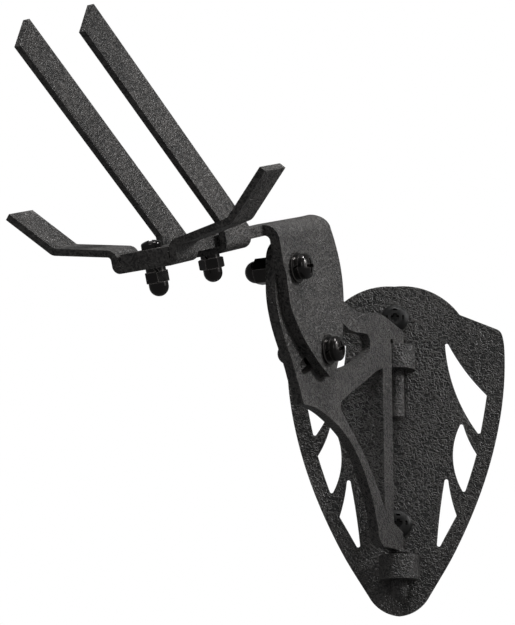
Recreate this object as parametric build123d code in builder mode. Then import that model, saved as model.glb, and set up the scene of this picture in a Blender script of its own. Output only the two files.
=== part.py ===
"""Swing-arm wall display hanger: an arrowhead wall plate, a lift-off swing arm, a tilting bracket
and a two-prong cradle. Millimetres, +Z up. The wall is the plane Y = 0 and the hanger stands out
towards -Y. The origin is midway between the two wall screws, on the back face of the wall plate."""

from build123d import *
from math import cos, radians, sin
import os

os.makedirs("parts", exist_ok=True)

# ---- driving dimensions ---------------------------------------------------------------------
SWING = 24.0            # arm swung to the viewer's left of straight out, degrees
TILT = 18.6             # cradle tilted nose down, degrees
FLANGE_DROP = 2.2       # bracket flange bent this much past square, degrees

PLATE_T = 3.0
SCREW_SPACING = 101.6
WALL_HOLE_R = 3.4

SLEEVE_R = 9.5
SLEEVE_L = 11.6
PIN_R = 3.95
PIN_CLEAR = 0.07
UPPER_SLEEVE_Z = 28.5   # middle of the sleeve
LOWER_SLEEVE_Z = -73.2

ARM_T = 4.76
PIVOT_U = 123.2         # tilt pivot, out from the hinge axis
PIVOT_Z = 47.4
LOCK_RADIUS = 44.7      # lock screw, from the tilt pivot
LOCK_ANGLE = -135.4     # lock screw as tilted here, in the arm's plane, degrees
SLOT_NOSE_UP = 23.7     # tilt travel each way from here, degrees
SLOT_NOSE_DOWN = 9.4
SLOT_CLEAR = 0.3

BRACKET_T = 4.76
FACE_GAP = 0.1          # running gap between arm and bracket
BEND_R = 7.24           # outside of the bracket's bend
FLANGE_TOP = 21.0       # above the pivot
BAR_W = 21.9
BAR_END = 102.0         # bar's free end, out from the pivot
BAR_START = -27.0

CLIP_T = 3.0
CLIP_MID = -11.57       # middle of both clips, across the bar
CLIP_FLOOR = -BRACKET_T - CLIP_T / 2
CRADLE_HALF = 15.3      # outside half width of the front clip
CRADLE_NEAR = 83.0      # front clip along the bar, from the pivot
CRADLE_FAR = 102.0
FORK_HALF = 16.5        # outside half width of the fork's channel
FORK_NEAR = 35.0
FORK_FAR = 58.5
PRONG_W = 14.9
PRONG_FOOT = 33.6       # where a prong's back edge meets the bar's top
PRONG_REACH = 164.2     # prong tip, along the prong

TILT_SHANK_R = 3.1      # quarter-inch screws
CLIP_SHANK_R = 2.2
SHANK_CLEAR = 0.05
CRADLE_SCREW = (92.5, -0.6)     # clip screws, along the bar and across it from the clips' middle
FORK_SCREW = (43.4, -0.4)

# ---- frames -----------------------------------------------------------------------------------
up = Vector(0, 0, 1)
out = Vector(-sin(radians(SWING)), -cos(radians(SWING)), 0)      # along the arm
side = Vector(cos(radians(SWING)), -sin(radians(SWING)), 0)      # arm's right-hand face
hinge = Vector(0, -(PLATE_T + SLEEVE_R), 0)

nose = out * cos(radians(TILT)) - up * sin(radians(TILT))        # along the bar
crown = out * sin(radians(TILT)) + up * cos(radians(TILT))       # away from the bar's top
pivot = hinge + out * PIVOT_U + up * PIVOT_Z

across = side * cos(radians(FLANGE_DROP)) + crown * sin(radians(FLANGE_DROP))
rise = crown * cos(radians(FLANGE_DROP)) - side * sin(radians(FLANGE_DROP))
bend_line = pivot + crown * (FLANGE_TOP - BEND_R) + rise * BEND_R  # where the bend meets the bar


def arm_plane(offset):
    """Plane of the arm, X outwards and Y up, `offset` towards its right-hand face."""
    return Plane(origin=hinge + side * offset, x_dir=out, z_dir=side * -1)


def bracket_plane(offset):
    """Plane of the bracket's blade, X along the bar and Y off its top, origin on the pivot."""
    return Plane(origin=pivot + side * offset, x_dir=nose, z_dir=side * -1)


def cradle_section(reach):
    """Plane square to the bar at `reach`, X across from the clips' middle and Y off its top."""
    return Plane(origin=bend_line + nose * reach + across * CLIP_MID, x_dir=across, z_dir=nose)


def cradle_side(offset):
    """Plane along the bar, X towards its end and Y off its top."""
    return Plane(origin=bend_line + across * offset, x_dir=nose, z_dir=across * -1)


bar_top = Plane(origin=bend_line + across * CLIP_MID, x_dir=nose, z_dir=rise)


def write(node, label):
    node.part.label = label
    export_step(node.part, f"parts/{label}.step")


# ---- wall plate -------------------------------------------------------------------------------
DOME_TOP = 67.0
NECK = (31.8, 52.2)
SHOULDER = (51.5, 44.0)
TIP_Z = -95.3
flank = [(53.4, 31.3), (49.3, -5.5), (37.2, -43.5), (26.5, -66.0), (14.7, -85.6)]

# each slot: top, outer and bottom corner, and a point that each of its curved sides passes through
slots = [
    [(24.3, 41.6), (35.4, 22.6), (44.3, 12.2), (42.5, 2.0), (40.4, -8.4), (28.0, 16.2)],
    [(32.0, -0.4), (34.4, -8.4), (38.7, -16.9), (35.6, -27.0), (32.2, -36.8), (27.1, -18.0)],
    [(24.2, -22.9), (25.7, -36.8), (28.4, -47.0), (24.0, -54.8), (18.2, -65.4), (20.8, -42.0)],
]
SLOT_CORNER_R = 0.9

front_face = Plane(origin=(0, -PLATE_T, 0), x_dir=(1, 0, 0), z_dir=(0, -1, 0))

with BuildPart() as wall_plate:
    with BuildSketch(front_face):
        with BuildLine():
            dome = ThreePointArc((0, DOME_TOP), (17.4, 64.2), NECK)
            Line(NECK, SHOULDER)
            edge = Spline(SHOULDER, *flank, tangents=[(0.5, -1), (-0.62, -1)])
            ThreePointArc(flank[-1], (7.7, -92.9), (0, TIP_Z))
            Line((0, TIP_Z), (0, DOME_TOP))
        half = make_face()
        fillet(half.vertices().sort_by(Axis.X)[-1], 4.5)
        for a, ab, b, bc, c, ca in slots:
            with BuildSketch(mode=Mode.PRIVATE) as window:
                with BuildLine():
                    ThreePointArc(a, ab, b)
                    ThreePointArc(b, bc, c)
                    ThreePointArc(c, ca, a)
                make_face()
                fillet(window.vertices(), SLOT_CORNER_R)
            add(window.sketch, mode=Mode.SUBTRACT)
        mirror(about=Plane.YZ)
        with GridLocations(0, SCREW_SPACING, 1, 2):
            Circle(WALL_HOLE_R, mode=Mode.SUBTRACT)
    extrude(amount=-PLATE_T)
write(wall_plate, "wall_plate")


# ---- hinge sleeves ----------------------------------------------------------------------------
WELD_TOE = 6.6          # weld fillet either side of a sleeve
WELD_THROAT = 4.9


def hinge_sleeve(z):
    weld_y = hinge.Y + (SLEEVE_R**2 - WELD_THROAT**2) ** 0.5
    bore = PIN_R + PIN_CLEAR
    with BuildPart() as sleeve:
        with BuildSketch(Plane.XY.offset(z - SLEEVE_L / 2)):
            with Locations((hinge.X, hinge.Y)):
                Circle(SLEEVE_R)
            with BuildLine():
                Line((0, -PLATE_T), (WELD_TOE, -PLATE_T))
                ThreePointArc((WELD_TOE, -PLATE_T), (6.0, -4.2), (WELD_THROAT, weld_y))
                Line((WELD_THROAT, weld_y), (0, hinge.Y))
                Line((0, hinge.Y), (0, -PLATE_T))
            make_face()
            mirror(about=Plane.YZ)
            with Locations((hinge.X, hinge.Y)):
                Circle(bore, mode=Mode.SUBTRACT)
        extrude(amount=SLEEVE_L)
        rims = sleeve.edges().filter_by(GeomType.CIRCLE)
        chamfer(rims.filter_by(lambda e: abs(e.radius - bore) < 0.01), 0.4)
    return sleeve


write(hinge_sleeve(UPPER_SLEEVE_Z), "hinge_sleeve_upper")
write(hinge_sleeve(LOWER_SLEEVE_Z), "hinge_sleeve_lower")

# ---- wall screws ------------------------------------------------------------------------------
WALL_HEAD_R = 6.9
WALL_HEAD_H = 2.9
WALL_NECK_R = 3.1       # inside the plate's hole
WALL_SHANK_R = 2.9
WALL_CORE_R = 2.1       # threaded length
WALL_SMOOTH = 12.0
WALL_SCREW_L = 42.0
WALL_POINT = 6.0
WALL_RECESS = 9.2
WALL_RECESS_L = 2.4
RECESS_ARM = 0.24       # width of a cross recess's arms, as a share of its span
RECESS_TAPER = 9.0


def cross(top, span):
    """Outline of a cross recess `span` across on the plane `top`."""
    with BuildSketch(top) as outline:
        Rectangle(span, RECESS_ARM * span)
        Rectangle(RECESS_ARM * span, span)
    return outline.sketch


with BuildPart() as wall_screws:
    for z in (SCREW_SPACING / 2, -SCREW_SPACING / 2):
        seat = Plane(origin=(0, -PLATE_T, z), x_dir=(1, 0, 0), z_dir=(0, -1, 0))
        with BuildSketch(Plane(origin=seat.origin, x_dir=(1, 0, 0), z_dir=(0, 0, 1))):
            with BuildLine():
                Line((0, -WALL_HEAD_H), (2.2, -WALL_HEAD_H))
                ThreePointArc((2.2, -WALL_HEAD_H), (5.2, -2.3), (WALL_HEAD_R - 0.2, -0.8))
                Polyline(
                    (WALL_HEAD_R - 0.2, -0.8),
                    (WALL_HEAD_R, 0),
                    (WALL_NECK_R, 0),
                    (WALL_NECK_R, PLATE_T),
                    (WALL_SHANK_R, PLATE_T),
                    (WALL_SHANK_R, WALL_SMOOTH),
                    (WALL_CORE_R, WALL_SMOOTH + 1),
                    (WALL_CORE_R, WALL_SCREW_L - WALL_POINT),
                    (0, WALL_SCREW_L),
                    (0, -WALL_HEAD_H),
                )
            make_face()
        revolve(axis=Axis(seat.origin, seat.z_dir))
        recess = cross(seat.offset(WALL_HEAD_H), WALL_RECESS)
        extrude(recess, amount=-WALL_RECESS_L, taper=RECESS_TAPER, mode=Mode.SUBTRACT)
write(wall_screws, "wall_screws")

# ---- swing arm --------------------------------------------------------------------------------
EAR_SEAT = 34.5         # underside of the upper ear
LOWER_EAR = -65.3
SPINE_REAR = 10.2       # the arm's rear edge clears the sleeves
HEAD_R = 12.2           # rounded end about the tilt pivot

top_edge = [(13.6, 45.6), (26.0, 46.3), (43.2, 42.6), (53.1, 42.8), (63.5, 44.5), (92.0, 52.6)]
nose_edge = [(134.3, 37.9), (132.6, 28.0), (124.9, 14.8), (119.1, 7.8), (113.8, 0.0)]
belly = [(104.6, -11.0), (92.3, -10.9), (76.0, -14.0), (59.0, -20.3), (46.0, -30.0)]
heel = [(37.7, -39.8), (31.8, -49.3), (28.0, -60.0)]

slot_start = LOCK_ANGLE - SLOT_NOSE_DOWN
slot_travel = SLOT_NOSE_DOWN + SLOT_NOSE_UP
lock_path = CenterArc((PIVOT_U, PIVOT_Z), LOCK_RADIUS, slot_start, slot_travel)

with BuildPart() as swing_arm:
    with BuildSketch(arm_plane(ARM_T / 2)):
        with BuildLine():
            Line((-4.5, EAR_SEAT), (-4.5, 42.0))
            ThreePointArc((-4.5, 42.0), (-3.2, 43.0), (-0.9, 43.4))
            crest = Spline((-0.9, 43.4), *top_edge, (PIVOT_U - 6.0, PIVOT_Z + 10.8), tangents=[(1, 0.16), (1, 0.5)])
            ThreePointArc(crest @ 1, (PIVOT_U + 5.5, PIVOT_Z + 11.0), (134.2, 49.7))
            Line((134.2, 49.7), nose_edge[0])
            Spline(*nose_edge)
            ThreePointArc(nose_edge[-1], (110.2, -5.0), (107.7, -9.4))
            ThreePointArc((107.7, -9.4), (106.7, -10.7), belly[0])
            Spline(*belly, *heel)
            ThreePointArc(heel[-1], (24.8, -64.2), (18.4, LOWER_EAR))
            Line((18.4, LOWER_EAR), (-0.5, LOWER_EAR))
            Line((-0.5, LOWER_EAR), (-0.5, -56.5))
            Line((-0.5, -56.5), (SPINE_REAR, -53.0))
            Line((SPINE_REAR, -53.0), (SPINE_REAR, EAR_SEAT))
            Line((SPINE_REAR, EAR_SEAT), (-4.5, EAR_SEAT))
        make_face()
        with Locations((SPINE_REAR - 0.6, EAR_SEAT + 0.6)):
            Circle(1.6, mode=Mode.SUBTRACT)
        with Locations((PIVOT_U, PIVOT_Z)):
            Circle(TILT_SHANK_R + SHANK_CLEAR, mode=Mode.SUBTRACT)
        with BuildSketch(mode=Mode.PRIVATE) as windows:
            with BuildLine():
                Spline((39.6, 33.5), (49.4, 32.4), (55.0, 32.0), (60.0, 32.6), (68.0, 35.4))
                ThreePointArc((68.0, 35.4), (72.2, 21.5), (82.5, 8.5))
                Spline((82.5, 8.5), (71.5, 10.8), (63.1, 13.1), (52.5, 16.8), (43.7, 21.2), (36.8, 25.6))
                ThreePointArc((36.8, 25.6), (34.8, 30.4), (39.6, 33.5))
            make_face()
            fillet(windows.vertices().filter_by_position(Axis.X, 60, 90), 1.6)
            with BuildLine():
                Line((20.6, -48.0), (20.6, 20.2))
                Spline((20.6, 20.2), (29.6, 16.7), (43.4, 9.2), (52.8, 4.5), (66.1, -2.8))
                ThreePointArc((66.1, -2.8), (68.1, -5.6), (66.4, -8.6))
                Spline((66.4, -8.6), (52.0, -18.4), (41.1, -26.4), (30.4, -36.2), (20.6, -48.0))
            make_face()
        add(windows.sketch, mode=Mode.SUBTRACT)
        SlotArc(lock_path, 2 * (TILT_SHANK_R + SLOT_CLEAR), mode=Mode.SUBTRACT)
    extrude(amount=ARM_T)
write(swing_arm, "swing_arm")


# ---- hinge pins -------------------------------------------------------------------------------
UPPER_PIN_L = 36.3
LOWER_PIN_L = 23.2
PIN_POINT = 1.6


def hinge_pin(top, length):
    with BuildPart() as pin:
        with BuildSketch(Plane(origin=hinge + up * (top - length))):
            Circle(PIN_R)
        extrude(amount=length)
        chamfer(pin.edges().filter_by(GeomType.CIRCLE).sort_by(Axis.Z)[0], PIN_POINT)
    return pin


write(hinge_pin(EAR_SEAT, UPPER_PIN_L), "hinge_pin_upper")
write(hinge_pin(LOWER_EAR, LOWER_PIN_L), "hinge_pin_lower")

# ---- tilt bracket -----------------------------------------------------------------------------
BLADE_FRONT = 12.5
BLADE_BACK = -48.0
BEND_START = FLANGE_TOP - BEND_R
BEND_IN = BEND_R - BRACKET_T
SKIRT = -56.0

blade_front = [(12.3, 2.4), (11.1, -6.0), (11.4, -14.9), (8.5, -22.5), (-4.0, -39.3), (-17.0, -51.2)]
blade_back = [(-27.1, -48.9), (-38.0, -35.6), (-44.0, -23.3), (-47.0, -6.9), (-45.8, 2.6), (-42.4, 13.0)]

lock_angle = radians(LOCK_ANGLE + TILT)
lock_spot = (LOCK_RADIUS * cos(lock_angle), LOCK_RADIUS * sin(lock_angle))

with BuildPart() as tilt_bracket:
    with BuildSketch(Plane(origin=pivot + nose * BLADE_BACK, x_dir=side, z_dir=nose)):
        with BuildLine():
            face = Line((BEND_R, SKIRT), (BEND_R, BEND_START))
            bend = JernArc(face @ 1, (0, 1), BEND_R, 90 + FLANGE_DROP)
            top = Line(bend @ 1, bend @ 1 + (bend % 1) * BAR_W)
            inner_face = Line((BEND_IN, SKIRT), (BEND_IN, BEND_START))
            inner_bend = JernArc(inner_face @ 1, (0, 1), BEND_IN, 90 + FLANGE_DROP)
            under = Line(inner_bend @ 1, inner_bend @ 1 + (inner_bend % 1) * BAR_W)
            Line(top @ 1, under @ 1)
            Line(face @ 0, inner_face @ 0)
        make_face()
    extrude(amount=BAR_END - BLADE_BACK)
    # trim the blade and the bend to the blade's outline, and square off the bar beside it
    with BuildSketch(bracket_plane(0)):
        with Locations((BAR_END / 2, 0)):
            Rectangle(2 * BAR_END, 4 * FLANGE_TOP)
            Rectangle(3 * BAR_END, 8 * FLANGE_TOP)
        with BuildLine():
            Line((BLADE_FRONT, 24.0), (BLADE_FRONT, 12.0))
            Line((BLADE_FRONT, 12.0), blade_front[0])
            Spline(*blade_front)
            ThreePointArc(blade_front[-1], (-22.5, -52.2), blade_back[0])
            Spline(*blade_back)
            ThreePointArc(blade_back[-1], (-39.0, 19.0), (-27.0, 21.6))
            Line((-27.0, 21.6), (-27.0, 24.0))
            Line((-27.0, 24.0), (BLADE_FRONT, 24.0))
        make_face(mode=Mode.SUBTRACT)
    extrude(amount=-2 * BEND_R, mode=Mode.SUBTRACT)
    with BuildSketch(bracket_plane(0)):
        with Locations((BAR_START, 0)):
            Rectangle(60, 8 * FLANGE_TOP, align=(Align.MAX, Align.CENTER))
    extrude(amount=2 * BAR_W, mode=Mode.SUBTRACT)
    with BuildSketch(bracket_plane(BEND_R)):
        with Locations((0, 0), lock_spot):
            Circle(TILT_SHANK_R + SHANK_CLEAR)
    extrude(amount=BEND_R, mode=Mode.SUBTRACT)
    with BuildSketch(bar_top):
        with Locations(FORK_SCREW, CRADLE_SCREW):
            Circle(CLIP_SHANK_R + SHANK_CLEAR)
    extrude(amount=BRACKET_T * 2, both=True, mode=Mode.SUBTRACT)
write(tilt_bracket, "tilt_bracket")

# ---- cradle arms ------------------------------------------------------------------------------
CLIP_BEND = 3.0         # middle of the strip
CORNER_BEND = 2.0
FULL = 2 * CRADLE_HALF
cradle_wall = CRADLE_HALF - CLIP_T / 2

right_arm = [(cradle_wall, CLIP_FLOOR), (cradle_wall, 0.8), (41.8, 5.9), (60.5, 23.8)]
left_arm = [(-x, y) for x, y in reversed(right_arm)]
bends = [CLIP_BEND, CLIP_BEND, CORNER_BEND, CORNER_BEND, CLIP_BEND, CLIP_BEND]

with BuildPart() as cradle_arms:
    with BuildSketch(cradle_section(CRADLE_NEAR)):
        with BuildLine():
            FilletPolyline(*left_arm, *right_arm, radius=bends)
        trace(line_width=CLIP_T)
    extrude(amount=CRADLE_FAR - CRADLE_NEAR)
    with BuildSketch(bar_top):
        with Locations(CRADLE_SCREW):
            Circle(CLIP_SHANK_R + SHANK_CLEAR)
    extrude(amount=FULL, both=True, mode=Mode.SUBTRACT)
write(cradle_arms, "cradle_arms")

# ---- prong fork -------------------------------------------------------------------------------
fork_wall = FORK_HALF - CLIP_T / 2
tip_back = PRONG_REACH / 2**0.5
half_foot = PRONG_FOOT / 2
front_foot = PRONG_FOOT + PRONG_W * 2**0.5

with BuildPart() as prong_fork:
    with BuildSketch(cradle_section(FORK_NEAR)):
        with BuildLine():
            FilletPolyline(
                (-fork_wall, PRONG_REACH),
                (-fork_wall, CLIP_FLOOR),
                (fork_wall, CLIP_FLOOR),
                (fork_wall, PRONG_REACH),
                radius=CLIP_BEND,
            )
        trace(line_width=CLIP_T)
    extrude(amount=PRONG_REACH)
    with BuildSketch(cradle_side(CLIP_MID)):
        Rectangle(4 * PRONG_REACH, 4 * PRONG_REACH)
        with BuildLine():
            far = (tip_back + half_foot, tip_back - half_foot)
            Polyline(
                (FORK_NEAR, FORK_NEAR - PRONG_FOOT),
                far,
                (far[0] + PRONG_W / 2**0.5, far[1] - PRONG_W / 2**0.5),
                (FORK_FAR, FORK_FAR - front_foot),
                (FORK_FAR, CLIP_FLOOR - CLIP_T),
                (FORK_NEAR, CLIP_FLOOR - CLIP_T),
                close=True,
            )
        make_face(mode=Mode.SUBTRACT)
    extrude(amount=2 * FORK_HALF, both=True, mode=Mode.SUBTRACT)
    with BuildSketch(bar_top):
        with Locations(FORK_SCREW):
            Circle(CLIP_SHANK_R + SHANK_CLEAR)
    extrude(amount=FULL, both=True, mode=Mode.SUBTRACT)
write(prong_fork, "prong_fork")


# ---- fasteners --------------------------------------------------------------------------------
THREAD_CHAMFER = 0.6
WASHER_HOLE = 0.15      # radial clearance on the shank


def turned(seat):
    """Plane holding the axis of a turned piece: X outwards from the axis, Y along the seat's normal."""
    return Plane(origin=seat.origin, x_dir=seat.x_dir, z_dir=seat.x_dir.cross(seat.z_dir))


def pan_screw(seat, head_r, head_h, shank_r, length, recess):
    """Cross-recess pan head screw, its head above `seat` and its shank below."""
    rim = head_h - (2 - 3**0.5) * head_r
    tip = THREAD_CHAMFER - length
    with BuildPart() as screw:
        with BuildSketch(turned(seat)):
            with BuildLine():
                RadiusArc((0, head_h), (head_r, rim), 2 * head_r)
                Polyline(
                    (head_r, rim),
                    (head_r, 0),
                    (shank_r, 0),
                    (shank_r, tip),
                    (shank_r - THREAD_CHAMFER, -length),
                    (0, -length),
                    (0, head_h),
                )
            profile = make_face()
            fillet(profile.vertices().sort_by_distance((head_r, rim, 0))[0], 0.28 * head_r)
        revolve(axis=Axis(seat.origin, seat.z_dir))
        slots = cross(seat.offset(head_h), recess)
        extrude(slots, amount=-0.55 * head_h, taper=RECESS_TAPER, mode=Mode.SUBTRACT)
    return screw


def flat_washer(seat, radius, hole_r, thickness):
    with BuildPart() as washer:
        with BuildSketch(seat):
            Circle(radius)
            Circle(hole_r, mode=Mode.SUBTRACT)
        extrude(amount=thickness)
        rims = washer.edges().filter_by(GeomType.CIRCLE)
        chamfer(rims.filter_by(lambda e: abs(e.radius - radius) < 0.01), 0.25)
    return washer


def spring_washer(seat, radius, hole_r, thickness):
    """Split ring, cut through on a slant."""
    split = Plane(origin=seat.origin, x_dir=seat.x_dir.cross(seat.z_dir) * -1, z_dir=seat.x_dir)
    with BuildPart() as ring:
        with BuildSketch(seat):
            Circle(radius)
            Circle(hole_r, mode=Mode.SUBTRACT)
        extrude(amount=thickness)
        with BuildSketch(split):
            with Locations((0, thickness / 2)):
                Rectangle(0.9, 4 * thickness, rotation=30)
        extrude(amount=2 * radius, mode=Mode.SUBTRACT)
    return ring


def cap_nut(seat, flats, hex_h, dome_r, total, bore_r, bore_l):
    """Hexagon nut closed by a dome, its open face on `seat`."""
    corner = flats / 3**0.5
    lip = corner - flats / 2
    neck = total - dome_r
    with BuildPart() as nut:
        with BuildSketch(seat):
            RegularPolygon(corner, 6)
        extrude(amount=hex_h)
        with BuildSketch(turned(seat)):
            Polygon(
                (0, 0),
                (flats / 2, 0),
                (corner, lip / 2),
                (corner, hex_h - lip / 2),
                (flats / 2, hex_h),
                (0, hex_h),
                align=None,
            )
        revolve(axis=Axis(seat.origin, seat.z_dir), mode=Mode.INTERSECT)
        with BuildSketch(turned(seat)):
            with BuildLine():
                Polyline((0, hex_h - 1), (dome_r, hex_h - 1), (dome_r, neck))
                ThreePointArc((dome_r, neck), (dome_r * 0.8, neck + 0.6 * dome_r), (0, total))
                Line((0, total), (0, hex_h - 1))
            make_face()
        revolve(axis=Axis(seat.origin, seat.z_dir))
        with BuildSketch(seat):
            Circle(bore_r)
        extrude(amount=bore_l, mode=Mode.SUBTRACT)
    return nut


# the tilt pivot and the lock screw carry the same set
TILT_HEAD_R = 5.7
TILT_HEAD_H = 4.2
TILT_RECESS = 7.2
FLAT_R = 6.95
FLAT_T = 1.2
SPRING_R = 5.5
SPRING_T = 2.0
BACK_FLAT_T = 1.6
TILT_NUT_FLATS = 11.1
TILT_NUT_HEX = 7.8
TILT_DOME_R = 5.0
TILT_NUT_L = 13.7
TILT_NUT_BORE = 10.4
TILT_NUT_TURN = 13.6    # nut's corner from the bar's direction, degrees

washer_r = TILT_SHANK_R + WASHER_HOLE
arm_back = -ARM_T / 2 - FACE_GAP
nut_face = arm_back - BACK_FLAT_T

for label, spot, turn in (("pivot", (0, 0), 4), ("lock", lock_spot, -3)):
    centre = pivot + nose * spot[0] + crown * spot[1]
    along = nose * cos(radians(turn)) + crown * sin(radians(turn))
    nut_turn = radians(TILT_NUT_TURN)
    corner_dir = nose * cos(nut_turn) + crown * sin(nut_turn)
    blade_seat = Plane(origin=centre + side * BEND_R, x_dir=along, z_dir=side)
    ring_seat = blade_seat.offset(FLAT_T)
    head_seat = ring_seat.offset(SPRING_T)
    back_seat = Plane(origin=centre + side * arm_back, x_dir=corner_dir, z_dir=side * -1)
    nut_seat = back_seat.offset(BACK_FLAT_T)
    shank = BEND_R + FLAT_T + SPRING_T - nut_face + TILT_NUT_BORE - 1.0
    head = pan_screw(head_seat, TILT_HEAD_R, TILT_HEAD_H, TILT_SHANK_R, shank, TILT_RECESS)
    nut = cap_nut(
        nut_seat, TILT_NUT_FLATS, TILT_NUT_HEX, TILT_DOME_R, TILT_NUT_L, TILT_SHANK_R, TILT_NUT_BORE
    )
    write(head, f"{label}_screw")
    write(flat_washer(blade_seat, FLAT_R, washer_r, FLAT_T), f"{label}_flat_washer")
    write(spring_washer(ring_seat, SPRING_R, washer_r, SPRING_T), f"{label}_spring_washer")
    write(flat_washer(back_seat, FLAT_R, washer_r, BACK_FLAT_T), f"{label}_back_washer")
    write(nut, f"{label}_cap_nut")

# the two clip screws pass down through the bar
CLIP_HEAD_R = 4.3
CLIP_HEAD_H = 3.7
CLIP_RECESS = 5.4
CLIP_RING_R = 4.2
CLIP_RING_T = 1.7
CLIP_NUT_FLATS = 9.53
CLIP_NUT_HEX = 4.6
CLIP_DOME_R = 4.1
CLIP_NUT_L = 10.4
CLIP_NUT_BORE = 7.6

for label, spot, turn in (("front", CRADLE_SCREW, 30), ("rear", FORK_SCREW, 0)):
    centre = bend_line + nose * spot[0] + across * (CLIP_MID + spot[1])
    along = nose * cos(radians(turn)) + across * sin(radians(turn))
    bar_seat = Plane(origin=centre, x_dir=along, z_dir=rise)
    strip_seat = Plane(origin=centre + rise * (CLIP_FLOOR - CLIP_T / 2), x_dir=along, z_dir=rise * -1)
    nut_seat = strip_seat.offset(CLIP_RING_T)
    shank = CLIP_NUT_BORE - 0.8 + CLIP_RING_T - CLIP_FLOOR + CLIP_T / 2
    head = pan_screw(bar_seat, CLIP_HEAD_R, CLIP_HEAD_H, CLIP_SHANK_R, shank, CLIP_RECESS)
    ring = spring_washer(strip_seat, CLIP_RING_R, CLIP_SHANK_R + WASHER_HOLE, CLIP_RING_T)
    nut = cap_nut(
        nut_seat, CLIP_NUT_FLATS, CLIP_NUT_HEX, CLIP_DOME_R, CLIP_NUT_L, CLIP_SHANK_R, CLIP_NUT_BORE
    )
    write(head, f"{label}_clip_screw")
    write(ring, f"{label}_clip_washer")
    write(nut, f"{label}_clip_nut")
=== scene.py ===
"""Looks of the swing-arm display hanger: wrinkled black powder coat, black hardware, a plain studio."""

import math
import random

import bpy
from mathutils import Matrix, Vector


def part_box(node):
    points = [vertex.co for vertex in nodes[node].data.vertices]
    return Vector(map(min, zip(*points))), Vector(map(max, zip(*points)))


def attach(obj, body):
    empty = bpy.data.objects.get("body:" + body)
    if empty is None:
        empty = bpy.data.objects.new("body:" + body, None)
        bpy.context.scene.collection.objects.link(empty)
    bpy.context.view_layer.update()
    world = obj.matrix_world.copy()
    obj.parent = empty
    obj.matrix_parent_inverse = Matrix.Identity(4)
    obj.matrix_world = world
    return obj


MM = 0.001

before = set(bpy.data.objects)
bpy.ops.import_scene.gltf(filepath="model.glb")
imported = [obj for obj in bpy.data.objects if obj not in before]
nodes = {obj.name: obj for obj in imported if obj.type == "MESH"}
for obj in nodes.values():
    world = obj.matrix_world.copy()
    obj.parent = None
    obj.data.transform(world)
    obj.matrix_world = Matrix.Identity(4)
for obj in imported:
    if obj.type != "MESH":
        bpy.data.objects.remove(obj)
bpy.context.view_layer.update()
scene = bpy.context.scene

COATED = (
    "wall_plate", "hinge_sleeve_upper", "hinge_sleeve_lower", "swing_arm", "hinge_pin_upper",
    "hinge_pin_lower", "tilt_bracket", "cradle_arms", "prong_fork",
)
MATTE = ("wall_screws",)
GLOSS = [name for name in nodes if name not in COATED + MATTE]

# camera: metres, degrees, and millimetres for the lens and the sensor
CAMERA_PLACE = (-0.0018, -1.1632, -0.2029)
CAMERA_YAW = -3.26
CAMERA_PITCH = 12.51
CAMERA_ROLL = -0.16
CAMERA_LENS = 168.1
CAMERA_SENSOR = 36
CAMERA_NEAR = 0.05

# colours
COAT_VALLEY = (0.006, 0.0058, 0.0057)
COAT_MID = (0.04, 0.039, 0.038)
COAT_RIDGE = (0.06, 0.056, 0.0535)
# painted highlight along the coat's edges
COAT_EDGE_HIGHLIGHT = (0.085, 0.08, 0.077)
GLOSS_COLOR = (0.035, 0.033, 0.033)
GLOSS_PALE = (0.04, 0.038, 0.037)
# painted highlight along the hardware's edges
GLOSS_EDGE_HIGHLIGHT = (0.6, 0.56, 0.54)
MATTE_COLOR = (0.006, 0.006, 0.006)
MATTE_PALE = (0.014, 0.014, 0.014)
# painted highlight along the wall screws' edges
MATTE_EDGE_HIGHLIGHT = (0.05, 0.049, 0.047)
FLOOR_COLOR = (0.8, 0.8, 0.8)
FLOOR_DULL = (0.78, 0.78, 0.78)
FLOOR_PALE = (0.82, 0.82, 0.82)

# surfaces
WRINKLE_WIDTH = 0.14        # noise either side of a ridge's middle level
WRINKLE_SHARE = 0.6
GRIT_SHARE = 0.7
CLOUD_SHARE = 0.8
# mask of the painted edge highlights: its samples and its lean
HIGHLIGHT_MASK_SAMPLES = 4
HIGHLIGHT_MASK_LEAN = 0.8             # full painted edge highlight where the two normals' dot product is this or less
COAT_ROUND = 0.45 * MM      # edge bevels
MATTE_ROUND = 0.15 * MM
GLOSS_ROUND = 0.12 * MM
ROUND_SEGMENTS = 2
ROUND_ABOVE = 35            # degrees: sharper edges than this are bevelled
SMOOTH_BELOW = 32           # degrees: flatter edges than this are shaded smooth

# welds
WELD_SEED = 4
BEAD_SIDES = 12
RIPPLE = 1.15 * MM          # from one ripple of a bead to the next
RIPPLE_RINGS = 6            # rings of the bead's mesh in one ripple
RIPPLE_LOW = 0.93           # thickness between two ripples, against the bead's mean
RIPPLE_RISE = 0.11
RIPPLE_CHANCE = 0.03
SEAM_X = 6.1 * MM
SEAM_OUT = 0.75 * MM        # bead's centre off the plate's face
SEAM_R = 1.75 * MM
SEAM_END = 0.7 * MM         # bead stops short of the sleeve's rims
SEAM_DRIFT = 0.05           # millimetres either side of the bead's line
SEAM_TIP = 0.35             # start of the taper at each end
SEAM_TAPER = 6
PIN_BEAD_R = 0.95 * MM
PIN_BEAD_DROP = 0.5 * MM    # below the pin's upper face

# wall screws' threads
THREAD_START = 10.5 * MM    # behind the wall's surface
THREAD_END = 37.0 * MM
THREAD_PITCH = 2.5 * MM
THREAD_STEPS = 20           # along one turn
CORE = 2.1 * MM
CREST = 0.75 * MM           # above the core
POINT_START = 33.0 * MM
POINT_END = 39.0 * MM
RUN_IN = 14                 # the crest is full after 1/14 of the thread's length
RUN_OUT = 8                 # and sinks over the last 1/8
ROOT_SUNK = 0.9             # the thread's root against the core's radius
ROOT_HALF = 0.26            # half the root's width, against the pitch
CREST_LEAN = 0.15 * MM      # towards the screw's point
CREST_HALF = 0.07 * MM      # half the crest's width

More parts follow.
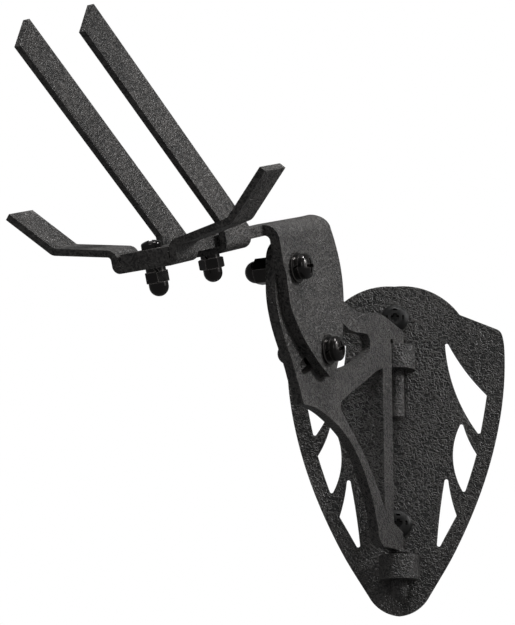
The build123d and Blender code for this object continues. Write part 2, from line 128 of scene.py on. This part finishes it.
# studio
FLOOR_HALF = 3.0
FLOOR_Z = -0.42
AMBIENT = 0.17
MIDDLE = (-0.05, -0.12, 0.02)
BLADE = (-0.045, -0.12, 0.06)
CRADLE = (-0.11, -0.19, 0.02)
SPOT_SOFTNESS = 0.2
WASH_POWER = 2.2
WASH_ANGLE = 25             # degrees, how wide the sun is
WASH_TILT = 12              # degrees from straight down


# ---- camera ------------------------------------------------------------------------------------
def add_camera():
    """A long lens, a little below the hanger, that looks up at it."""
    yaw, pitch, roll = (math.radians(a) for a in (CAMERA_YAW, CAMERA_PITCH, CAMERA_ROLL))
    ahead = Vector((math.sin(yaw) * math.cos(pitch), math.cos(yaw) * math.cos(pitch), math.sin(pitch)))
    right = Vector((math.cos(yaw), -math.sin(yaw), 0))
    above = right.cross(ahead)
    turned_right = right * math.cos(roll) + above * math.sin(roll)
    turned_above = above * math.cos(roll) - right * math.sin(roll)
    data = bpy.data.cameras.new("camera")
    data.sensor_fit = "HORIZONTAL"
    data.sensor_width = CAMERA_SENSOR
    data.lens = CAMERA_LENS
    data.clip_start = CAMERA_NEAR
    camera = bpy.data.objects.new("camera", data)
    axes = Matrix((turned_right, turned_above, -ahead)).transposed().to_4x4()
    camera.matrix_world = Matrix.Translation(CAMERA_PLACE) @ axes
    scene.collection.objects.link(camera)
    scene.camera = camera


# ---- materials ---------------------------------------------------------------------------------
class Shader:
    """A Principled material and short calls that add nodes to it."""

    def __init__(self, name, color, roughness, metallic=0.0, specular=0.5):
        self.material = bpy.data.materials.new(name)
        self.material.use_nodes = True
        self.nodes = self.material.node_tree.nodes
        self.links = self.material.node_tree.links
        self.surface = self.nodes["Principled BSDF"]
        self.surface.inputs["Base Color"].default_value = (*color, 1)
        self.surface.inputs["Roughness"].default_value = roughness
        self.surface.inputs["Metallic"].default_value = metallic
        self.surface.inputs["Specular IOR Level"].default_value = specular
        self.place = self.add("ShaderNodeTexCoord").outputs["Object"]

    def add(self, kind, values=None, **settings):
        node = self.nodes.new(kind)
        for key, value in settings.items():
            setattr(node, key, value)
        for key, value in (values or {}).items():
            if isinstance(value, bpy.types.NodeSocket):
                self.links.new(value, node.inputs[key])
            else:
                node.inputs[key].default_value = value
        return node

    def noise(self, scale, detail=3.0, roughness=0.5, distortion=0.0):
        values = {
            "Vector": self.place,
            "Scale": scale,
            "Detail": detail,
            "Roughness": roughness,
            "Distortion": distortion,
        }
        return self.add("ShaderNodeTexNoise", values).outputs["Fac"]

    def wrinkles(self, scale, detail, distortion):
        """Worm-like ridges: 1 along the noise's middle level, falling off either side of it."""
        level = self.noise(scale, detail, distortion=distortion)
        off = self.maths("ABSOLUTE", self.maths("SUBTRACT", level, 0.5), 0.0)
        return self.remap(off, low=0.0, high=WRINKLE_WIDTH, to_low=1.0, to_high=0.0)

    def remap(self, value, low, high, to_low=0.0, to_high=1.0):
        values = {0: value, 1: low, 2: high, 3: to_low, 4: to_high}
        return self.add("ShaderNodeMapRange", values).outputs[0]

    def maths(self, operation, a, b):
        return self.add("ShaderNodeMath", {0: a, 1: b}, operation=operation).outputs[0]

    def blend(self, factor, a, b):
        node = self.add("ShaderNodeMix", data_type="RGBA")
        for key, value in zip((0, 6, 7), (factor, a, b)):
            if isinstance(value, bpy.types.NodeSocket):
                self.links.new(value, node.inputs[key])
            else:
                node.inputs[key].default_value = (*value, 1)
        return node.outputs[2]

    def edge_highlight_mask(self, radius):
        """1 along edges, 0 on flats, the mask of the painted edge highlights: how far the rounded normal
        leans from the true one.
        """
        rounded = self.add("ShaderNodeBevel", {"Radius": radius}, samples=HIGHLIGHT_MASK_SAMPLES).outputs[0]
        normal = self.add("ShaderNodeNewGeometry").outputs["Normal"]
        dot = self.add("ShaderNodeVectorMath", {0: rounded, 1: normal}, operation="DOT_PRODUCT")
        return self.remap(dot.outputs["Value"], low=1.0, high=HIGHLIGHT_MASK_LEAN)

    def bump(self, height, distance, strength):
        """Adds a bump on top of the ones already there."""
        values = {"Height": height, "Distance": distance, "Strength": strength}
        previous = self.surface.inputs["Normal"].links
        if previous:
            values["Normal"] = previous[0].from_socket
        self.links.new(self.add("ShaderNodeBump", values).outputs[0], self.surface.inputs["Normal"])

    def color(self, socket):
        self.links.new(socket, self.surface.inputs["Base Color"])

    def roughness(self, socket):
        self.links.new(socket, self.surface.inputs["Roughness"])


def powder_coat():
    """Black powder coat with a wormy wrinkle, cloudy patches, and a painted highlight that makes its
    edges a little paler in patches.
    """
    coat = Shader("black_powder_coat", COAT_MID, roughness=0.5)
    wrinkle = coat.wrinkles(scale=560, detail=1.4, distortion=0.7)
    grit = coat.noise(scale=1100, detail=1.5)
    cloud = coat.noise(scale=45, roughness=0.55)
    ridges = coat.maths("MULTIPLY", wrinkle, WRINKLE_SHARE)
    height = coat.maths("ADD", ridges, coat.maths("MULTIPLY", grit, GRIT_SHARE))
    tone = coat.maths("ADD", height, coat.maths("MULTIPLY", cloud, CLOUD_SHARE))
    grained = coat.blend(coat.remap(tone, low=0.72, high=1.3), COAT_VALLEY, COAT_RIDGE)
    # painted highlight: the coat's edges a little paler, in random patches
    edge_highlight_mask = coat.edge_highlight_mask(0.5 * MM)
    patches = coat.remap(coat.noise(scale=160), low=0.4, high=0.6, to_low=0.15, to_high=0.75)
    painted_edge_highlight = coat.maths("MULTIPLY", edge_highlight_mask, patches)
    coat.color(coat.blend(painted_edge_highlight, grained, COAT_EDGE_HIGHLIGHT))
    coat.roughness(coat.remap(tone, low=0.55, high=1.35, to_low=0.55, to_high=0.4))
    coat.bump(cloud, distance=0.3 * MM, strength=0.3)
    coat.bump(height, distance=0.5 * MM, strength=1.0)
    return coat.material


def gloss_black():
    """Black-plated screws, washers and nuts, smudged, with bright painted highlights along their edges.
    """
    gloss = Shader("gloss_black_hardware", GLOSS_COLOR, roughness=0.2, metallic=0.9)
    smudge = gloss.noise(scale=260, detail=4)
    tint = gloss.blend(gloss.remap(smudge, low=0.35, high=0.65), GLOSS_COLOR, GLOSS_PALE)
    # painted highlight: bright rims along the hardware's edges
    painted_edge_highlight = gloss.maths("MULTIPLY", gloss.edge_highlight_mask(0.4 * MM), 0.8)
    gloss.color(gloss.blend(painted_edge_highlight, tint, GLOSS_EDGE_HIGHLIGHT))
    gloss.roughness(gloss.remap(smudge, low=0.35, high=0.65, to_low=0.1, to_high=0.24))
    gloss.bump(gloss.noise(scale=700, detail=2), distance=0.03 * MM, strength=0.4)
    return gloss.material


def matte_black():
    """Wall screws: dull black oxide, paler in patches, with a painted highlight along its edges."""
    matte = Shader("matte_black_screw", MATTE_COLOR, roughness=0.5, specular=0.3)
    patch = matte.noise(scale=220, detail=4)
    tint = matte.blend(matte.remap(patch, low=0.35, high=0.65), MATTE_COLOR, MATTE_PALE)
    # painted highlight: the wall screws' edges paler
    painted_edge_highlight = matte.maths("MULTIPLY", matte.edge_highlight_mask(0.3 * MM), 0.5)
    matte.color(matte.blend(painted_edge_highlight, tint, MATTE_EDGE_HIGHLIGHT))
    matte.roughness(matte.remap(patch, low=0.35, high=0.65, to_low=0.42, to_high=0.6))
    matte.bump(matte.noise(scale=1300, detail=2), distance=0.05 * MM, strength=0.5)
    return matte.material


# ---- surfaces ----------------------------------------------------------------------------------
def smooth_by_angle():
    """A modifier's node group that shades flat edges smooth and leaves sharp ones."""
    group = bpy.data.node_groups.new("smooth_by_angle", "GeometryNodeTree")
    for direction in ("INPUT", "OUTPUT"):
        group.interface.new_socket("Geometry", in_out=direction, socket_type="NodeSocketGeometry")
    start = group.nodes.new("NodeGroupInput")
    end = group.nodes.new("NodeGroupOutput")
    angle = group.nodes.new("GeometryNodeInputMeshEdgeAngle")
    flat = group.nodes.new("FunctionNodeCompare")
    flat.data_type = "FLOAT"
    flat.operation = "LESS_THAN"
    flat.inputs["B"].default_value = math.radians(SMOOTH_BELOW)
    faces = group.nodes.new("GeometryNodeSetShadeSmooth")
    edges = group.nodes.new("GeometryNodeSetShadeSmooth")
    edges.domain = "EDGE"
    group.links.new(angle.outputs["Unsigned Angle"], flat.inputs["A"])
    group.links.new(start.outputs[0], faces.inputs["Geometry"])
    group.links.new(faces.outputs[0], edges.inputs["Geometry"])
    group.links.new(flat.outputs[0], edges.inputs["Shade Smooth"])
    group.links.new(edges.outputs[0], end.inputs[0])
    return group


def dress(piece, material, edge, smooth):
    """Gives a piece its material, rounded edges and smooth round faces."""
    piece.data.materials.clear()
    piece.data.materials.append(material)
    bevel = piece.modifiers.new("edge_round", "BEVEL")
    bevel.width = edge
    bevel.segments = ROUND_SEGMENTS
    bevel.limit_method = "ANGLE"
    bevel.angle_limit = math.radians(ROUND_ABOVE)
    piece.modifiers.new("smooth", "NODES").node_group = smooth


def add_piece(name, verts, faces, material, body):
    mesh = bpy.data.meshes.new(name)
    mesh.from_pydata(verts, [], faces)
    mesh.materials.append(material)
    mesh.shade_smooth()
    piece = bpy.data.objects.new(name, mesh)
    scene.collection.objects.link(piece)
    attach(piece, body)
    return piece


def tube_faces(rings, sides, closed):
    """Quads between rings of `sides` points; open tubes get an end cap at each end."""
    faces = []
    for i in range(rings if closed else rings - 1):
        a = i * sides
        b = (i + 1) % rings * sides
        for k in range(sides):
            n = (k + 1) % sides
            faces.append((a + k, a + n, b + n, b + k))
    if not closed:
        faces.append(tuple(range(sides - 1, -1, -1)))
        faces.append(tuple((rings - 1) * sides + k for k in range(sides)))
    return faces


# ---- welds -------------------------------------------------------------------------------------
def bead_ring(centre, u, v, radius):
    angles = (2 * math.pi * k / BEAD_SIDES for k in range(BEAD_SIDES))
    return [centre + (u * math.cos(a) + v * math.sin(a)) * radius for a in angles]


def ripple(distance, chance):
    """A bead's thickness there, against its mean: stacked ripples, none quite alike."""
    wave = abs(math.sin(math.pi * distance / RIPPLE))
    return RIPPLE_LOW + RIPPLE_RISE * wave + chance.uniform(-RIPPLE_CHANCE, RIPPLE_CHANCE)


def seam_bead(name, x, y, z_low, z_high, material, chance):
    """A weld bead up one side of a sleeve, where it meets the plate."""
    verts = []
    rings = round((z_high - z_low) / RIPPLE * RIPPLE_RINGS)
    for i in range(rings + 1):
        share = i / rings
        z = z_low + (z_high - z_low) * share
        ends = min(1, SEAM_TIP + SEAM_TAPER * min(share, 1 - share)) ** 0.5
        drift = Vector((x + chance.uniform(-SEAM_DRIFT, SEAM_DRIFT) * MM, y, z))
        thick = SEAM_R * ends * ripple(z - z_low, chance)
        verts += bead_ring(drift, Vector((1, 0, 0)), Vector((0, 1, 0)), thick)
    faces = tube_faces(rings + 1, BEAD_SIDES, closed=False)
    return add_piece(name, verts, faces, material, "plate")


def ring_bead(name, centre, ring_radius, material, chance):
    """A weld bead round a pin, under the ear that it hangs from."""
    verts = []
    rings = round(2 * math.pi * ring_radius / RIPPLE) * RIPPLE_RINGS
    for i in range(rings):
        a = 2 * math.pi * i / rings
        outward = Vector((math.cos(a), math.sin(a), 0))
        thick = PIN_BEAD_R * ripple(ring_radius * a, chance)
        verts += bead_ring(centre + outward * ring_radius, outward, Vector((0, 0, 1)), thick)
    faces = tube_faces(rings, BEAD_SIDES, closed=True)
    return add_piece(name, verts, faces, material, "arm")


def add_welds(material):
    chance = random.Random(WELD_SEED)
    plate_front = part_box("wall_plate")[0][1]
    welds = []
    for level in ("upper", "lower"):
        low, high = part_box(f"hinge_sleeve_{level}")
        for hand, sign in (("left", -1), ("right", 1)):
            name = f"sleeve_weld_{level}_{hand}"
            ends = (low[2] + SEAM_END, high[2] - SEAM_END)
            welds.append(seam_bead(name, sign * SEAM_X, plate_front - SEAM_OUT, *ends, material, chance))
    low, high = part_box("hinge_pin_lower")
    middle = Vector(((low[0] + high[0]) / 2, (low[1] + high[1]) / 2, high[2] - PIN_BEAD_DROP))
    welds.append(ring_bead("pin_weld_lower", middle, (high[0] - low[0]) / 2, material, chance))
    return welds


# ---- screw threads -----------------------------------------------------------------------------
def wall_thread(name, z, material):
    """The coarse thread round a wall screw's core, down to its point."""
    turns = (THREAD_END - THREAD_START) / THREAD_PITCH
    rings = round(turns * THREAD_STEPS)
    verts = []
    for i in range(rings + 1):
        share = i / rings
        y = THREAD_START + (THREAD_END - THREAD_START) * share
        core = CORE * min(1, (POINT_END - y) / (POINT_END - POINT_START))
        crest = core + CREST * min(1, RUN_IN * share, RUN_OUT * (1 - share))
        a = 2 * math.pi * turns * share
        outward = Vector((math.cos(a), 0, math.sin(a)))
        root = outward * core * ROOT_SUNK + Vector((0, y, z))
        half = Vector((0, THREAD_PITCH * ROOT_HALF, 0))
        tip = outward * crest + Vector((0, y + CREST_LEAN, z))
        flat = Vector((0, CREST_HALF, 0))
        profile = [root - half, tip - flat, tip + flat, root + half]
        verts += profile
    faces = tube_faces(rings + 1, len(profile), closed=False)
    return add_piece(name, verts, faces, material, "plate")


def add_threads(material):
    low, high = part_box("wall_screws")
    head = (high[0] - low[0]) / 2
    return [
        wall_thread("wall_thread_upper", high[2] - head, material),
        wall_thread("wall_thread_lower", low[2] + head, material),
    ]


# ---- studio ------------------------------------------------------------------------------------
def add_floor():
    """Pale and faintly mottled; it sends no light back to the hanger."""
    mesh = bpy.data.meshes.new("floor")
    signs = ((-1, -1), (1, -1), (1, 1), (-1, 1))
    mesh.from_pydata([(x * FLOOR_HALF, y * FLOOR_HALF, FLOOR_Z) for x, y in signs], [], [(0, 1, 2, 3)])
    floor = bpy.data.objects.new("floor", mesh)
    scene.collection.objects.link(floor)
    pale = Shader("pale_floor", FLOOR_COLOR, roughness=0.8)
    mottle = pale.remap(pale.noise(scale=6), low=0.3, high=0.7)
    pale.color(pale.blend(mottle, FLOOR_DULL, FLOOR_PALE))
    mesh.materials.append(pale.material)
    floor.visible_diffuse = False
    floor.visible_glossy = False
    return floor


def light_only(lamp, group, objects):
    """The lamp lights these objects and nothing else."""
    lit = bpy.data.collections.new(group)
    for item in objects:
        lit.objects.link(item)
    lamp.light_linking.receiver_collection = lit


def add_lamp(name, data, place, target):
    lamp = bpy.data.objects.new(name, data)
    lamp.location = place
    lamp.rotation_euler = (Vector(target) - Vector(place)).to_track_quat("-Z", "Y").to_euler()
    scene.collection.objects.link(lamp)
    return lamp


def add_softbox(name, place, target, size, power):
    data = bpy.data.lights.new(name, "AREA")
    data.shape = "RECTANGLE"
    data.size, data.size_y = size
    data.energy = power
    return add_lamp(name, data, place, target)


def add_spot(name, place, target, cone, power):
    """A beam that fades all the way from its middle to its rim."""
    data = bpy.data.lights.new(name, "SPOT")
    data.energy = power
    data.spot_size = math.radians(cone)
    data.spot_blend = 1.0
    data.shadow_soft_size = SPOT_SOFTNESS
    return add_lamp(name, data, place, target)


def add_world():
    """White where the camera looks straight at it, dim grey where it lights the hanger."""
    world = bpy.data.worlds.new("studio")
    world.use_nodes = True
    tree = world.node_tree
    sky = tree.nodes["Background"]
    sky.inputs["Color"].default_value = (1, 1, 1, 1)
    path = tree.nodes.new("ShaderNodeLightPath")
    level = tree.nodes.new("ShaderNodeMapRange")
    level.inputs["To Min"].default_value = AMBIENT
    level.inputs["To Max"].default_value = 1.0
    tree.links.new(path.outputs["Is Camera Ray"], level.inputs["Value"])
    tree.links.new(level.outputs[0], sky.inputs["Strength"])
    scene.world = world


def add_floor_wash(floor):
    """Even light on the floor alone, so that it stays plain and pale."""
    data = bpy.data.lights.new("floor_wash", "SUN")
    data.energy = WASH_POWER
    data.angle = math.radians(WASH_ANGLE)
    lamp = bpy.data.objects.new("floor_wash", data)
    lamp.rotation_euler = (math.radians(WASH_TILT), 0, 0)
    scene.collection.objects.link(lamp)
    light_only(lamp, "floor_alone", [floor])


def add_light(floor, hanger):
    add_world()
    add_floor_wash(floor)
    lamps = [
        add_softbox("key_right", (1.5, -0.42, 0.55), MIDDLE, size=(0.8, 0.9), power=2.6),
        add_softbox("top", (-0.3, -0.3, 1.45), MIDDLE, size=(0.8, 0.8), power=2.5),
        add_softbox("front", (-0.3, -1.8, 0.3), MIDDLE, size=(0.8, 0.8), power=2.6),
        add_spot("kicker", (0.95, -0.25, 0.55), BLADE, cone=14, power=150),
        add_spot("cradle_top", (0.2, -0.55, 1.2), CRADLE, cone=24, power=95),
    ]
    for lamp in lamps:
        light_only(lamp, lamp.name + "_hanger", hanger)


# ---- the scene ---------------------------------------------------------------------------------
add_camera()
smooth = smooth_by_angle()
coat = powder_coat()
matte = matte_black()
gloss = gloss_black()
finishes = ((COATED, coat, COAT_ROUND), (MATTE, matte, MATTE_ROUND), (GLOSS, gloss, GLOSS_ROUND))
for names, material, edge in finishes:
    for name in names:
        dress(nodes[name], material, edge, smooth)
pieces = add_welds(coat) + add_threads(matte)
add_light(add_floor(), list(nodes.values()) + pieces)
scene.view_settings.view_transform = "Standard"
